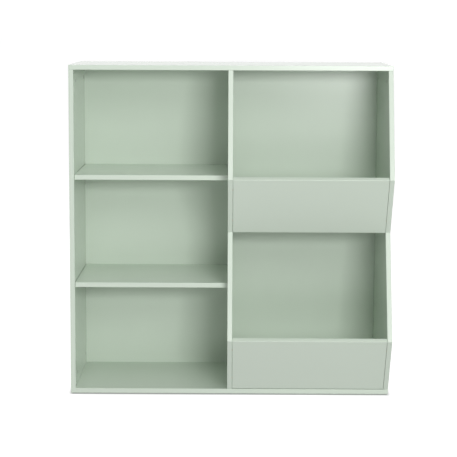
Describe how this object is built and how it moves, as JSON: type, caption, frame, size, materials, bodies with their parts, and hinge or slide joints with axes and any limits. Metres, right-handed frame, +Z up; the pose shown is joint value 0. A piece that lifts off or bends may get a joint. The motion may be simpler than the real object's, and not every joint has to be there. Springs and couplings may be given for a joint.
{
  "type": "toy storage unit",
  "caption": "Free-standing painted board toy storage unit with open cubbies on one side and open-top bins with leaning fronts on the other.",
  "frame": {"origin": "centre of the footprint, at the undersides of the glides", "axes": "+Z up, +Y from the open front towards the back, +X to the right as seen from the front, towards the bins"},
  "size_m": [0.8, 0.408, 0.827],
  "materials": {
    "board_paint": "fibreboard with a smooth satin pale sage green paint, edges softened",
    "back_paint": "thin hardboard, painted the same satin pale sage green",
    "cam_zinc": "die-cast zinc, dull nickel plate, cross recess",
    "bolt_steel": "bright zinc-plated steel",
    "dowel_beech": "raw turned beech",
    "glide_plastic": "off-white moulded nylon"
  },
  "bodies": {
    "root": {"base_panel": "board_paint", "bolt_divider_base_front": "bolt_steel", "bolt_divider_base_rear": "bolt_steel", "bolt_divider_top_front": "bolt_steel", "bolt_divider_top_rear": "bolt_steel", "bolt_left_base_front": "bolt_steel", "bolt_left_base_rear": "bolt_steel", "bolt_left_top_front": "bolt_steel", "bolt_left_top_rear": "bolt_steel", "bolt_right_base_front": "bolt_steel", "bolt_right_base_rear": "bolt_steel", "bolt_right_top_front": "bolt_steel", "bolt_right_top_rear": "bolt_steel", "cam_divider_base_front": "cam_zinc", "cam_divider_base_rear": "cam_zinc", "cam_divider_top_front": "cam_zinc", "cam_divider_top_rear": "cam_zinc", "cam_left_base_front": "cam_zinc", "cam_left_base_rear": "cam_zinc", "cam_left_top_front": "cam_zinc", "cam_left_top_rear": "cam_zinc", "cam_right_base_front": "cam_zinc", "cam_right_base_rear": "cam_zinc", "cam_right_top_front": "cam_zinc", "cam_right_top_rear": "cam_zinc", "center_divider": "board_paint", "glide_left_front": "glide_plastic", "glide_left_rear": "glide_plastic", "glide_right_front": "glide_plastic", "glide_right_rear": "glide_plastic", "left_back_panel": "back_paint", "left_side_panel": "board_paint", "lower_bin_front": "board_paint", "lower_bin_front_dowel_left_high": "dowel_beech", "lower_bin_front_dowel_left_low": "dowel_beech", "lower_bin_front_dowel_right_high": "dowel_beech", "lower_bin_front_dowel_right_low": "dowel_beech", "lower_shelf": "board_paint", "lower_shelf_dowel_left_front": "dowel_beech", "lower_shelf_dowel_left_rear": "dowel_beech", "lower_shelf_dowel_right_front": "dowel_beech", "lower_shelf_dowel_right_rear": "dowel_beech", "right_back_panel": "back_paint", "right_side_panel": "board_paint", "top_panel": "board_paint", "upper_bin_floor": "board_paint", "upper_bin_floor_dowel_left_front": "dowel_beech", "upper_bin_floor_dowel_left_rear": "dowel_beech", "upper_bin_floor_dowel_right_front": "dowel_beech", "upper_bin_floor_dowel_right_rear": "dowel_beech", "upper_bin_front": "board_paint", "upper_bin_front_dowel_left_high": "dowel_beech", "upper_bin_front_dowel_left_low": "dowel_beech", "upper_bin_front_dowel_right_high": "dowel_beech", "upper_bin_front_dowel_right_low": "dowel_beech", "upper_shelf": "board_paint", "upper_shelf_dowel_left_front": "dowel_beech", "upper_shelf_dowel_left_rear": "dowel_beech", "upper_shelf_dowel_right_front": "dowel_beech", "upper_shelf_dowel_right_rear": "dowel_beech"}
  },
  "joints": []
}
